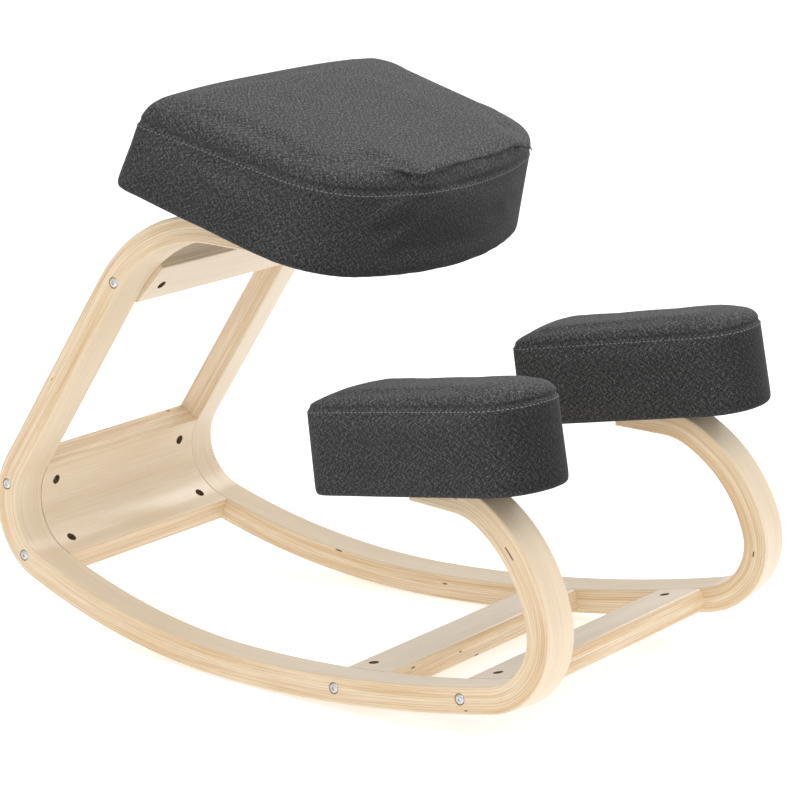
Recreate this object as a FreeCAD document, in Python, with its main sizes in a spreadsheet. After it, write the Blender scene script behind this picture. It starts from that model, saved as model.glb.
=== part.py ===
import FreeCAD, Part
import math
import os

import Sketcher
from FreeCAD import Placement, Rotation, Vector

# Rocking kneeling chair, in millimetres.
# +Z is up, the knee pads face -Y, the seat's rear is at +Y, and the chair is symmetric about the YZ plane.
# The origin is on the floor, under the middle of the chair.
# Right and left are the sitter's, so the right side frame stands at -X.

# Driving sizes: name and value, angles in degrees
SIZES = [
    # bent-laminated side frames: outer radii and sweeps along the curve, from the seat rail to the knee arm
    ("frame_thickness", 26.6),
    ("frame_width", 39.0),
    ("frame_edge_rounding", 2.0),
    ("half_track", 193.8),
    ("splay_angle", 4.42),
    ("lean_angle", 3.02),
    ("rail_length", 98.0),
    ("rail_angle", 1.0),
    ("top_bend_radius", 172.0),
    ("upright_length", 241.8),
    ("upright_angle", 57.3),
    ("rear_bend_radius", 82.5),
    ("rocker_rear_radius", 785.0),
    ("rocker_rear_angle", 20.8),
    ("rocker_front_radius", 1500.0),
    ("rocker_front_angle", 12.66),
    ("front_bend_radius", 79.0),
    ("front_bend_angle", 91.0),
    ("arm_sweep_radius", 160.7),
    ("arm_sweep_angle", 45.6),
    ("arm_bend_radius", 84.6),
    ("arm_bend_angle", 28.1),
    ("arm_tip_length", 53.6),
    # plate and crossbars between the side frames
    ("plate_thickness", 26.6),
    ("plate_top_overrun", 1.0),
    ("plate_bottom_overrun", 9.0),
    ("plate_bolt_upper_angle", 12.5),
    ("plate_bolt_lower_angle", 54.2),
    ("top_bar_height", 54.0),
    ("top_bar_thickness", 26.6),
    ("top_bar_place_angle", 37.4),
    ("top_bar_tilt", 41.3),
    ("top_bar_inset", 2.5),
    ("top_bar_bolt_shift", 4.3),
    ("floor_bar_thickness", 24.0),
    ("floor_bar_rounding", 5.0),
    ("rear_bar_reach", 148.5),
    ("rear_bar_width", 56.0),
    ("rear_bar_bolt_shift", 10.6),
    ("front_bar_reach", 298.5),
    ("front_bar_width", 54.0),
    ("front_bar_bolt_shift", 4.0),
    # seat cushion
    ("seat_back_reach", 95.6),
    ("seat_back_rise", 27.8),
    ("seat_tilt", 17.1),
    ("seat_rear_overhang", 13.2),
    ("seat_front_overhang", -1.3),
    ("seat_length", 286.0),
    ("seat_front_bulge", 48.5),
    ("seat_front_corner", 95.0),
    ("seat_rear_corner", 18.0),
    ("seat_seam_height", 68.5),
    ("seat_seam_rise", 2.7),
    ("seat_seam_inset", 8.2),
    ("seat_side_belly", 0.5),
    ("seat_crown_height", 33.0),
    ("seat_crown_rise", 1.2),
    ("seat_recess", 12.0),
    # knee pads
    ("knee_inset", 30.7),
    ("knee_back_reach", 90.4),
    ("knee_back_drop", 32.3),
    ("knee_tilt", 9.25),
    ("knee_toe_out", 2.0),
    ("knee_rear_half_width", 60.0),
    ("knee_front_half_width", 53.0),
    ("knee_length", 253.5),
    ("knee_front_bulge", 23.5),
    ("knee_front_corner", 45.0),
    ("knee_rear_corner", 14.0),
    ("knee_seam_height", 84.0),
    ("knee_seam_rise", 0.0),
    ("knee_seam_inset", 1.4),
    ("knee_side_belly", 1.0),
    ("knee_crown_height", 9.5),
    ("knee_crown_rise", 1.2),
    ("knee_recess", 9.0),
    # layers of the cushions
    ("cushion_lip", 13.5),
    ("cushion_lip_rounding", 3.0),
    ("cover_thickness", 1.5),
    ("under_cloth_thickness", 0.8),
    ("board_thickness", 12.0),
    # bolts, barrel nuts and dowels of the frame joints
    ("bolt_diameter", 6.0),
    ("bolt_head_diameter", 10.5),
    ("bolt_head_height", 3.3),
    ("bolt_length", 68.0),
    ("socket_width", 4.0),
    ("socket_depth", 2.0),
    ("head_recess_depth", 2.2),
    ("barrel_diameter", 10.0),
    ("barrel_length", 14.0),
    ("barrel_inset", 22.0),
    ("dowel_diameter", 8.0),
    ("dowel_length", 36.0),
    ("dowel_spacing", 17.0),
    # screws and tee nuts that hold the cushions on
    ("screw_length", 30.0),
    ("seat_screw_grip", 8.0),
    ("seat_screw_spacing", 32.0),
    ("seat_screw_back", 156.0),
    ("knee_screw_grip", 9.0),
    ("knee_screw_spacing", 22.0),
    ("knee_screw_back", 100.0),
    ("tee_flange_diameter", 19.0),
    ("tee_flange_thickness", 1.5),
    ("tee_barrel_diameter", 8.0),
    ("tee_barrel_length", 9.0),
    # clearances
    ("soft_clearance", 0.3),
    ("hole_clearance", 0.3),
    ("head_clearance", 1.5),
]

SIDES = [("right", -1), ("left", 1)]

# Far enough to reach past the whole chair
BEYOND = 1000.0

doc = FreeCAD.newDocument("kneeling_chair")
sheet = doc.addObject("Spreadsheet::Sheet", "sizes")
for row, (alias, value) in enumerate(SIZES, start=1):
    sheet.set("A%d" % row, alias)
    sheet.set("B%d" % row, str(value))
    sheet.setAlias("B%d" % row, alias)
doc.recompute()


def size(alias):
    return float(sheet.get(alias))


def unit(angle):
    """Unit vector in a drawing plane at an angle in degrees."""
    return Vector(math.cos(math.radians(angle)), math.sin(math.radians(angle)), 0)


# Curve of the side frames
# It is drawn in the plane of a frame's outer face: x to the rear, y up, zero where the rocker touches the floor.
# It is walked with a heading, and every arc turns the same way, clockwise.

class Walk:
    """Tangent lines and clockwise arcs of a band of one thickness, with both of its edges."""

    def __init__(self, point, heading, thickness):
        self.point = point
        self.heading = heading
        self.thickness = thickness
        self.steps = []

    def inner(self, point):
        return point + unit(self.heading - 90) * self.thickness

    def line(self, length):
        end = self.point + unit(self.heading) * length
        step = {"outer": [self.point, end], "inner": [self.inner(self.point), self.inner(end)]}
        self.steps.append(step)
        self.point = end
        return step

    def arc(self, radius, sweep):
        centre = self.point + unit(self.heading - 90) * radius
        spokes = [unit(self.heading + 90 - sweep * part) for part in (0, 0.5, 1)]
        step = {
            "centre": [centre],
            "outer": [centre + spoke * radius for spoke in spokes],
            "inner": [centre + spoke * (radius - self.thickness) for spoke in spokes],
        }
        self.steps.append(step)
        self.point = step["outer"][-1]
        self.heading -= sweep
        return step


def frame_walk():
    """All steps of the frame's curve in order, and the named ones that other pieces are placed by."""
    rear = Walk(Vector(0, 0, 0), size("rail_angle"), size("frame_thickness"))
    rear.line(size("rail_length"))
    top_bend = rear.arc(size("top_bend_radius"), size("rail_angle") + size("upright_angle"))
    rear.line(size("upright_length"))
    rear_bend = rear.arc(size("rear_bend_radius"), 180 - size("upright_angle") - size("rocker_rear_angle"))
    rear.arc(size("rocker_rear_radius"), size("rocker_rear_angle"))
    floor_point = rear.point
    for step in rear.steps:
        for key in step:
            step[key] = [point - floor_point for point in step[key]]
    front = Walk(Vector(0, 0, 0), -180, size("frame_thickness"))
    rocker = front.arc(size("rocker_front_radius"), size("rocker_front_angle"))
    front_bend = front.arc(size("front_bend_radius"), size("front_bend_angle"))
    front.arc(size("arm_sweep_radius"), size("arm_sweep_angle"))
    front.arc(size("arm_bend_radius"), size("arm_bend_angle"))
    tip = front.line(size("arm_tip_length"))
    named = {
        "top_bend": top_bend,
        "rear_bend": rear_bend,
        "rocker": rocker,
        "front_bend": front_bend,
        "arm_tip": tip,
    }
    return rear.steps + front.steps, named


FRAME_STEPS, FRAME_PLACES = frame_walk()
SPLAY = math.radians(size("splay_angle"))
LEAN = math.radians(size("lean_angle"))


def frame_y(point, depth):
    """World Y of a point of the curve, counted from the floor point, at a depth inwards from the outer face."""
    across = point.y * math.sin(LEAN) + depth * math.cos(LEAN)
    return point.x * math.cos(SPLAY) - across * math.sin(SPLAY)


def arc_extreme(step, direction):
    centre = step["centre"][0]
    return centre + direction * (step["outer"][0] - centre).Length


# The foremost point is on a frame's inner face and the rearmost one on its outer face.
FOREMOST = frame_y(arc_extreme(FRAME_PLACES["front_bend"], Vector(-1, 0, 0)), size("frame_width"))
REARMOST = frame_y(arc_extreme(FRAME_PLACES["rear_bend"], Vector(1, 0, 0)), 0)
FLOOR_POINT_Y = -(FOREMOST + REARMOST) / 2
FLOOR_POINT_Z = size("frame_width") * math.sin(LEAN)


def frame_placement(side):
    """Plane of a frame's outer face: splayed towards the front and leaning inwards at the top."""
    turn = Rotation(Vector(0, 0, 1), 90 + side * size("splay_angle"))
    lean = Rotation(Vector(1, 0, 0), 90 - side * size("lean_angle"))
    return Placement(Vector(side * size("half_track"), FLOOR_POINT_Y, FLOOR_POINT_Z), turn.multiply(lean))


def in_frame(side, point, depth):
    """World place of a point of the curve at a depth inwards from the outer face."""
    return frame_placement(side).multVec(Vector(point.x, point.y, -side * depth))


def inward(side):
    """World direction from a frame's outer face to its inner face."""
    return frame_placement(side).Rotation.multVec(Vector(0, 0, -side))


def on_section(point):
    """A point of the curve in the chair's YZ section, as it lies on the frames' inner faces."""
    world = in_frame(-1, point, size("frame_width"))
    return Vector(world.y, world.z, 0)


# Cushion planes: x across, y to the rear, z up, zero in the middle of the lower rear edge.

def cushion_placement(kind, side):
    """The seat is set from the top of the rear bends, each knee pad from the tip of its arm."""
    if kind == "seat":
        bend = in_frame(-1, FRAME_PLACES["top_bend"]["outer"][0], 0)
        base = Vector(0, bend.y + size("seat_back_reach"), bend.z + size("seat_back_rise"))
        return Placement(base, Rotation(Vector(1, 0, 0), size("seat_tilt")))
    tip = in_frame(side, FRAME_PLACES["arm_tip"]["outer"][1], 0)
    base = tip + Vector(-side * size("knee_inset"), size("knee_back_reach"), -size("knee_back_drop"))
    turn = Rotation(Vector(0, 0, 1), side * (size("splay_angle") + size("knee_toe_out")))
    tilt = Rotation(Vector(1, 0, 0), -size("knee_tilt"))
    return Placement(base, turn.multiply(tilt))


def half_width(kind, end):
    """Half the width of a cushion's rear or front; the seat's follows the track of the frames."""
    if kind == "seat":
        return size("half_track") + size("seat_%s_overhang" % end)
    return size("knee_%s_half_width" % end)


def raised(placement, height):
    return placement.multiply(Placement(Vector(0, 0, height), Rotation()))


# Building helpers

def bound(kind, name, expressions, placement=Placement()):
    """Object whose sizes are bound to the sheet."""
    obj = doc.addObject(kind, name)
    for prop, expression in expressions.items():
        obj.setExpression(prop, expression)
    obj.Placement = placement
    return obj


def along(base, direction):
    return Placement(base, Rotation(Vector(0, 0, 1), direction))


def rod(name, diameter, length, base, direction):
    """Round bar; diameter and length are sheet expressions."""
    return bound("Part::Cylinder", name, {"Radius": "(%s) / 2" % diameter, "Height": length}, along(base, direction))


def block(name, low, high, placement):
    """Box between two corners of a local frame."""
    obj = doc.addObject("Part::Box", name)
    obj.Length = high.x - low.x
    obj.Width = high.y - low.y
    obj.Height = high.z - low.z
    obj.Placement = placement.multiply(Placement(low, Rotation()))
    return obj


def together(kind, name, members):
    obj = doc.addObject(kind, name)
    if kind == "Part::Compound":
        obj.Links = members
    else:
        obj.Shapes = members
    return obj


def cut(name, base, tools):
    obj = doc.addObject("Part::Cut", name)
    obj.Base = base
    obj.Tool = tools[0] if len(tools) == 1 else together("Part::MultiFuse", name + "_tools", tools)
    return obj


def curve(points):
    if len(points) == 2:
        return Part.LineSegment(points[0], points[1])
    return Part.Arc(points[0], points[1], points[2])


def outlined_body(name, plane_role, outline, length, reverse=False):
    """Body padded from a closed outline; length is a sheet expression."""
    body = doc.addObject("PartDesign::Body", name)
    sketch = body.newObject("Sketcher::SketchObject", name + "_outline")
    plane = [item for item in body.Origin.OriginFeatures if item.Role == plane_role][0]
    sketch.AttachmentSupport = (plane, "")
    sketch.MapMode = "FlatFace"
    sketch.addGeometry([curve(points) for points in outline], False)
    join_ends(sketch, len(outline))
    pad = body.newObject("PartDesign::Pad", name + "_pad")
    pad.Profile = sketch
    pad.setExpression("Length", length)
    pad.Reversed = reverse
    body.Tip = pad
    return body, sketch, pad


def join_ends(sketch, count):
    """Ties the end of each edge to the start of the next."""
    for first in range(count):
        second = (first + 1) % count
        pairs = [(a, b) for a in (1, 2) for b in (1, 2)]
        gaps = [(sketch.getPoint(first, a) - sketch.getPoint(second, b)).Length for a, b in pairs]
        a, b = pairs[gaps.index(min(gaps))]
        sketch.addConstraint(Sketcher.Constraint("Coincident", first, a, second, b))


def rounded(body, name, base, radius, wanted):
    """Rounds the edges of a body's feature that pass a test."""
    doc.recompute()
    names = ["Edge%d" % (i + 1) for i, edge in enumerate(base.Shape.Edges) if wanted(edge)]
    fillet = body.newObject("PartDesign::Fillet", name)
    fillet.Base = (base, names)
    fillet.setExpression("Radius", radius)
    body.Tip = fillet
    return fillet


# Side frames

def frame_outline():
    """Outer edge from the rail to the arm tip, then the inner edge back."""
    outer = [step["outer"] for step in FRAME_STEPS]
    inner = [list(reversed(step["inner"])) for step in reversed(FRAME_STEPS)]
    tip_end = [outer[-1][-1], inner[0][0]]
    rail_end = [inner[-1][-1], outer[0][0]]
    return outer + [tip_end] + inner + [rail_end]


ARC_RADII = {
    1: "top_bend_radius",
    3: "rear_bend_radius",
    4: "rocker_rear_radius",
    5: "rocker_front_radius",
    6: "front_bend_radius",
    7: "arm_sweep_radius",
    8: "arm_bend_radius",
}


def bind_radii(sketch, step_count):
    """Binds the outer and inner radius of each bend to the sheet."""
    for index, alias in ARC_RADII.items():
        inner_index = 2 * step_count - index
        outer = sketch.addConstraint(Sketcher.Constraint("Radius", index, size(alias)))
        sketch.setExpression("Constraints[%d]" % outer, "sizes." + alias)
        inner_radius = size(alias) - size("frame_thickness")
        inner = sketch.addConstraint(Sketcher.Constraint("Radius", inner_index, inner_radius))
        sketch.setExpression("Constraints[%d]" % inner, "sizes.%s - sizes.frame_thickness" % alias)


def frame_blank(name, side):
    """Bent band with eased edges, before it is planed and drilled."""
    body, sketch, pad = outlined_body(name + "_blank", "XY_Plane", frame_outline(), "sizes.frame_width", side > 0)
    bind_radii(sketch, len(FRAME_STEPS))

    def on_a_face(edge):
        heights = [vertex.Z for vertex in edge.Vertexes]
        return max(heights) - min(heights) < 0.01

    rounded(body, name + "_easing", pad, "sizes.frame_edge_rounding", on_a_face)
    body.Placement = frame_placement(side)
    return body


# Places of the frame joints in the plane of the curve: bolt and dowel points and the way the barrel nuts lie

def rocker_section(reach, width_alias):
    """Crossbar section on the front rocker: its corners, and its middle with its two directions."""
    centre = FRAME_PLACES["rocker"]["centre"][0]
    angle = math.degrees(reach / size("rocker_front_radius"))
    down = unit(-90 - angle)
    rearward = unit(-angle)
    top = centre + down * (size("rocker_front_radius") - size("frame_thickness"))
    half = rearward * (size(width_alias) / 2)
    deep = down * size("floor_bar_thickness")
    corners = [top - half, top + half, top + half + deep, top - half + deep]
    return corners, top + deep * 0.5, rearward, down * -1


def top_bar_section():
    """Crossbar section in the top bend: its corners, and its middle with its two directions."""
    centre = FRAME_PLACES["top_bend"]["centre"][0]
    outward = unit(size("top_bar_tilt"))
    downward = unit(size("top_bar_tilt") - 90)
    inner_radius = size("top_bend_radius") - size("frame_thickness")
    half_height = size("top_bar_height") / 2
    distance = math.sqrt(inner_radius ** 2 - half_height ** 2) - size("top_bar_inset")
    face = centre + unit(size("top_bar_place_angle")) * distance
    half = downward * half_height
    deep = outward * size("top_bar_thickness")
    corners = [face - half, face + half, face + half + deep, face - half + deep]
    return corners, face + deep * 0.5, downward, outward * -1


def closed(corners):
    return [[corners[i], corners[(i + 1) % len(corners)]] for i in range(len(corners))]


REAR_BAR = rocker_section(size("rear_bar_reach"), "rear_bar_width")
FRONT_BAR = rocker_section(size("front_bar_reach"), "front_bar_width")
TOP_BAR = top_bar_section()


def bar_joint(section, bolt_shift):
    """One bolt and one dowel across a crossbar's end."""
    middle, wide, face = section[1], section[2], section[3]
    bolt = middle + wide * bolt_shift
    return {"bolts": [(bolt, face)], "dowels": [bolt - wide * size("dowel_spacing")]}


def plate_joint():
    """Two bolts in the rear bend, in the middle of the plate's thickness."""
    centre = FRAME_PLACES["rear_bend"]["centre"][0]
    radius = size("rear_bend_radius") - size("frame_thickness") + size("plate_thickness") / 2
    spokes = [unit(size("plate_bolt_upper_angle")), unit(-size("plate_bolt_lower_angle"))]
    return {"bolts": [(centre + spoke * radius, spoke * -1) for spoke in spokes], "dowels": []}


JOINTS = {
    "top_crossbar": bar_joint(TOP_BAR, size("top_bar_bolt_shift")),
    "rear_plate": plate_joint(),
    "rear_floor_crossbar": bar_joint(REAR_BAR, size("rear_bar_bolt_shift")),
    "front_floor_crossbar": bar_joint(FRONT_BAR, size("front_bar_bolt_shift")),
}


def barrel_direction(side, face):
    return frame_placement(side).Rotation.multVec(face)


def bolt(name, side, point):
    """Button-head bolt with a hexagon socket, its head seated in the frame's recess."""
    seat = in_frame(side, point, size("head_recess_depth"))
    way = inward(side)
    shank = rod(name + "_shank", "sizes.bolt_diameter", "sizes.bolt_length", seat, way)
    head = rod(name + "_head", "sizes.bolt_head_diameter", "sizes.bolt_head_height", seat, way * -1)
    top = seat - way * (size("bolt_head_height") - size("socket_depth"))
    shape = {"Circumradius": "sizes.socket_width / sqrt(3)", "Height": "sizes.socket_depth + 1"}
    socket = bound("Part::Prism", name + "_socket", shape, along(top, way * -1))
    socket.Polygon = 6
    return cut(name, together("Part::MultiFuse", name + "_body", [shank, head]), [socket])


def barrel_nut(name, side, point, face):
    """Round cross nut, threaded for the bolt that passes through it."""
    way = barrel_direction(side, face)
    middle = in_frame(side, point, size("frame_width") + size("barrel_inset"))
    end = middle - way * (size("barrel_length") / 2)
    nut = rod(name + "_blank", "sizes.barrel_diameter", "sizes.barrel_length", end, way)
    bore_start = middle - inward(side) * size("barrel_diameter")
    bore = rod(name + "_bore", "sizes.bolt_diameter", "2 * sizes.barrel_diameter", bore_start, inward(side))
    return cut(name, nut, [bore])


def joint_holes(name, side, joint):
    """Holes that a joint needs in the frame and in the piece between the frames."""
    way = inward(side)
    tools = []
    for number, (point, face) in enumerate(joint["bolts"], start=1):
        tag = "%s_%d" % (name, number)
        start = in_frame(side, point, -1)
        hole = rod(tag + "_hole", "sizes.bolt_diameter + 2 * sizes.hole_clearance", "sizes.bolt_length + 8", start, way)
        recess_width = "sizes.bolt_head_diameter + sizes.head_clearance"
        recess = rod(tag + "_recess", recess_width, "sizes.head_recess_depth + 1", start, way)
        drilled = barrel_direction(side, face)
        middle = in_frame(side, point, size("frame_width") + size("barrel_inset"))
        bottom = middle - drilled * (size("barrel_length") / 2)
        cross = rod(tag + "_cross", "sizes.barrel_diameter + sizes.hole_clearance", "40", bottom, drilled)
        tools += [hole, recess, cross]
    for number, point in enumerate(joint["dowels"], start=1):
        start = in_frame(side, point, size("frame_width") - size("dowel_length") / 2)
        tools.append(rod("%s_%d_dowel_hole" % (name, number), "sizes.dowel_diameter", "sizes.dowel_length", start, way))
    return tools


HOLES = {}
for joint_name, joint in JOINTS.items():
    for side_name, side in SIDES:
        HOLES[joint_name, side] = joint_holes("%s_%s" % (side_name, joint_name), side, joint)


# Screws that hold a cushion: points on the board's underside, in the cushion's own plane

def screw_points(kind, side):
    """Two screws along the rail or arm, in the middle of its width."""
    placement = cushion_placement(kind, side)
    spacing = size(kind + "_screw_spacing") / 2
    middle_back = size(kind + "_screw_back")
    points = []
    for place in (-spacing, spacing):
        world_y = placement.multVec(Vector(0, -middle_back + place, 0)).y
        points.append(screw_point_at(kind, side, world_y))
    return points


def screw_point_at(kind, side, world_y):
    """Point of the covered underside of the board over the middle of the frame's width, at a world Y."""
    placement = raised(cushion_placement(kind, side), cushion_underside(kind))
    normal = placement.Rotation.multVec(Vector(0, 0, 1))
    middle = size("frame_width") / 2
    frame = frame_placement(side)
    across = frame.Rotation.multVec(Vector(0, 0, 1))
    depth_point = frame.multVec(Vector(0, 0, -side * middle))
    # The point lies on the board plane and on the frame's middle plane.
    determinant = normal.x * across.z - normal.z * across.x
    board_right = normal.dot(placement.Base) - normal.y * world_y
    frame_right = across.dot(depth_point) - across.y * world_y
    x = (board_right * across.z - normal.z * frame_right) / determinant
    z = (normal.x * frame_right - board_right * across.x) / determinant
    return Vector(x, world_y, z)


def cushion_underside(kind):
    """Height of the cloth under the board, where the frame's planed top meets it."""
    return size(kind + "_recess") - size("under_cloth_thickness")


def board_normal(kind, side):
    return cushion_placement(kind, side).Rotation.multVec(Vector(0, 0, 1))


def screw_hole_tools(name, kind, side):
    """Through holes and head pockets along the screws."""
    up = board_normal(kind, side)
    tools = []
    for number, point in enumerate(screw_points(kind, side), start=1):
        tag = "%s_%d" % (name, number)
        start = point - up * 40
        width = "sizes.bolt_diameter + 2 * sizes.hole_clearance"
        tools.append(rod(tag + "_hole", width, "40 + sizes.under_cloth_thickness + sizes.board_thickness", start, up))
        seat = point - up * size(kind + "_screw_grip")
        pocket_width = "sizes.bolt_head_diameter + sizes.head_clearance"
        tools.append(rod(tag + "_pocket", pocket_width, "60", seat, up * -1))
    return tools


# Assembled sub-parts: node name and object
NODES = {}


def keep(name, obj):
    obj.Label = name
    NODES[name] = obj
    return obj


for side_name, side in SIDES:
    name = side_name + "_side_frame"
    seat_plane = raised(cushion_placement("seat", side), cushion_underside("seat"))
    knee_plane = raised(cushion_placement("knee", side), cushion_underside("knee"))
    tools = [
        block(name + "_seat_planing", Vector(-300, -400, 0), Vector(300, 60, 150), seat_plane),
        block(name + "_knee_planing", Vector(-150, -320, 0), Vector(150, 60, 150), knee_plane),
    ]
    for joint_name in JOINTS:
        tools += HOLES[joint_name, side]
    tools += screw_hole_tools(name + "_seat_screw", "seat", side)
    tools += screw_hole_tools(name + "_knee_screw", "knee", side)
    keep(name, cut(name, frame_blank(name, side), tools))


# Plate and crossbars: long pieces trimmed to the frames' inner faces

def outside_blocks(name):
    """Everything beyond the inner face of each frame."""
    blocks = []
    for side_name, side in SIDES:
        near, far = -side * size("frame_width"), side * BEYOND
        low = Vector(-BEYOND, -BEYOND, min(near, far))
        high = Vector(BEYOND, BEYOND, max(near, far))
        blocks.append(block("%s_%s_trim" % (name, side_name), low, high, frame_placement(side)))
    return blocks


def between_frames(name, outline, rounding=None):
    """Piece of one section along X between the frames."""
    section = [[on_section(point) for point in points] for points in outline]
    body, sketch, pad = outlined_body(name + "_blank", "YZ_Plane", section, "2 * sizes.half_track + 50")
    if rounding:
        def runs_along(edge):
            return abs(edge.Vertexes[0].X - edge.Vertexes[-1].X) > 1

        rounded(body, name + "_rounding", pad, rounding, runs_along)
    body.Placement = Placement(Vector(-size("half_track") - 25, 0, 0), Rotation())
    tools = outside_blocks(name)
    for side_name, side in SIDES:
        tools += HOLES[name, side]
    return keep(name, cut(name, body, tools))


def plate_outline():
    """Band of the plate round the rear bend, flush with the frames' inner curve."""
    bend = FRAME_PLACES["rear_bend"]
    heading = -size("upright_angle")
    outward = unit(heading + 90)
    start = bend["inner"][0] + outward * size("plate_thickness") - unit(heading) * size("plate_top_overrun")
    walk = Walk(start, heading, size("plate_thickness"))
    walk.line(size("plate_top_overrun"))
    radius = size("rear_bend_radius") - size("frame_thickness") + size("plate_thickness")
    walk.arc(radius, 180 - size("upright_angle") - size("rocker_rear_angle"))
    walk.line(size("plate_bottom_overrun"))
    outer = [step["outer"] for step in walk.steps]
    inner = [list(reversed(step["inner"])) for step in reversed(walk.steps)]
    return outer + [[outer[-1][-1], inner[0][0]]] + inner + [[inner[-1][-1], outer[0][0]]]


between_frames("rear_plate", plate_outline(), "sizes.frame_edge_rounding")
between_frames("top_crossbar", closed(TOP_BAR[0]), "sizes.frame_edge_rounding")
between_frames("rear_floor_crossbar", closed(REAR_BAR[0]), "sizes.floor_bar_rounding")
between_frames("front_floor_crossbar", closed(FRONT_BAR[0]), "sizes.floor_bar_rounding")

# Bolts, barrel nuts and dowels of the frame joints

for joint_name, joint in JOINTS.items():
    bolts, nuts, dowels = [], [], []
    for side_name, side in SIDES:
        tag = "%s_%s" % (side_name, joint_name)
        for number, (point, face) in enumerate(joint["bolts"], start=1):
            bolts.append(bolt("%s_bolt_%d" % (tag, number), side, point))
            nuts.append(barrel_nut("%s_nut_%d" % (tag, number), side, point, face))
        for number, point in enumerate(joint["dowels"], start=1):
            start = in_frame(side, point, size("frame_width") - size("dowel_length") / 2)
            dowel_name = "%s_dowel_%d" % (tag, number)
            dowels.append(rod(dowel_name, "sizes.dowel_diameter", "sizes.dowel_length", start, inward(side)))
    keep(joint_name + "_bolts", together("Part::Compound", joint_name + "_bolts", bolts))
    keep(joint_name + "_barrel_nuts", together("Part::Compound", joint_name + "_barrel_nuts", nuts))
    if dowels:
        keep(joint_name + "_dowels", together("Part::Compound", joint_name + "_dowels", dowels))


# Cushion outlines: a straight rear edge, sides that draw together and a bowed front

def d_outline(kind, inset):
    """Closed outline of a cushion, drawn in by an inset all round, as eight lines and arcs."""
    rear = half_width(kind, "rear") - inset
    front = half_width(kind, "front") - inset
    y_rear = -inset
    y_front = inset - size(kind + "_length")
    full_front = half_width(kind, "front")
    bulge = size(kind + "_front_bulge")
    bow_radius = (full_front ** 2 + bulge ** 2) / (2 * bulge) - inset
    drop = bow_radius - math.sqrt(bow_radius ** 2 - front ** 2)
    rear_radius = max(size(kind + "_rear_corner") - inset, size(kind + "_rear_corner") / 3)
    front_radius = max(size(kind + "_front_corner") - inset, size(kind + "_front_corner") / 3)

    corner = Vector(rear, y_rear, 0)
    side_way = (Vector(front, y_front + drop, 0) - corner).normalize()
    inside = Vector(side_way.y, -side_way.x, 0)
    run = -rear_radius * (1 + inside.y) / side_way.y
    rear_centre = corner + side_way * run + inside * rear_radius
    bow_centre = Vector(0, y_front + bow_radius, 0)
    offset = corner + inside * front_radius - bow_centre
    slide = offset.dot(side_way)
    reach = -slide + math.sqrt(slide ** 2 - offset.dot(offset) + (bow_radius - front_radius) ** 2)
    front_centre = corner + side_way * reach + inside * front_radius

    rear_end = Vector(rear_centre.x, y_rear, 0)
    side_start = rear_centre - inside * rear_radius
    side_end = front_centre - inside * front_radius
    bow_end = bow_centre + (front_centre - bow_centre).normalize() * bow_radius

    def middle(centre, a, b, radius):
        return centre + ((a - centre) + (b - centre)).normalize() * radius

    rear_middle = middle(rear_centre, rear_end, side_start, rear_radius)
    front_middle = middle(front_centre, side_end, bow_end, front_radius)
    half = [
        [rear_end, rear_middle, side_start],
        [side_start, side_end],
        [side_end, front_middle, bow_end],
    ]

    def mirrored(points):
        return [Vector(-p.x, p.y, p.z) for p in reversed(points)]

    bow = [bow_end, Vector(0, y_front, 0), Vector(-bow_end.x, bow_end.y, 0)]
    rear_edge = [Vector(-rear_end.x, rear_end.y, 0), rear_end]
    return half + [bow] + [mirrored(points) for points in reversed(half)] + [rear_edge]


# Crown of a cushion above its seam: share of its smaller half span drawn in, and share of the crown's height
CROWN = [(0.02, 0.25), (0.06, 0.5), (0.12, 0.72), (0.22, 0.88), (0.36, 0.97), (0.5, 1.0)]


def cushion_sections(kind, skin):
    """Inset, height at the rear edge and rise towards the front of each level, a skin's depth inside the surface."""
    seam = size(kind + "_seam_height")
    inset = size(kind + "_seam_inset")
    rise = math.tan(math.radians(size(kind + "_seam_rise")))
    lip = size("cushion_lip_rounding")
    crown = size(kind + "_crown_height")
    crown_rise = math.tan(math.radians(size(kind + "_crown_rise")))
    half_span = min(half_width(kind, "rear"), size(kind + "_length") / 2)
    levels = [
        (lip + skin, skin, 0),
        (skin, lip + skin, 0),
        (inset / 2 + skin - size(kind + "_side_belly"), seam / 2, rise / 2),
        (inset + skin, seam, rise),
    ]
    for drawn_in, height in CROWN:
        lowered = skin * (1 + height) / 2
        level_rise = rise + (crown_rise - rise) * height
        levels.append((inset + skin + drawn_in * half_span, seam + crown * height - lowered, level_rise))
    return levels


def section_wire(kind, inset, height, rise):
    """Outline of one level in the cushion's own frame, on a plane that rises towards the front."""
    edges = []
    for points in d_outline(kind, inset):
        edges.append(curve([Vector(p.x, p.y, height - rise * p.y) for p in points]).toShape())
    return Part.Wire(edges)


def cushion_solid(kind, skin):
    wires = [section_wire(kind, *level) for level in cushion_sections(kind, skin)]
    return Part.makeLoft(wires, True, True)


def d_prism(kind, inset, low, high):
    """Straight-sided block of the cushion's outline between two heights."""
    face = Part.Face(section_wire(kind, inset, low, 0))
    return face.extrude(Vector(0, 0, high - low))


def cushion_shapes(kind):
    """Cover and foam of a cushion, in its own frame."""
    cover = size("cover_thickness")
    lip = size("cushion_lip")
    recess = size(kind + "_recess")
    gap = size("soft_clearance")
    outer = cushion_solid(kind, 0)
    hollow = cushion_solid(kind, cover).cut(d_prism(kind, lip - cover, -1, recess))
    cover_shape = outer.cut(hollow).cut(d_prism(kind, lip, -1, recess))
    foam = cushion_solid(kind, cover + gap)
    foam = foam.cut(d_prism(kind, lip - cover - gap, -1, recess))
    foam = foam.cut(d_prism(kind, lip - cover, recess - 1, recess + size("board_thickness")))
    return cover_shape, foam


def soft_piece(name, shape, placement):
    piece = doc.addObject("Part::Feature", name)
    piece.Shape = shape
    piece.Placement = placement
    return keep(name, piece)


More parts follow.
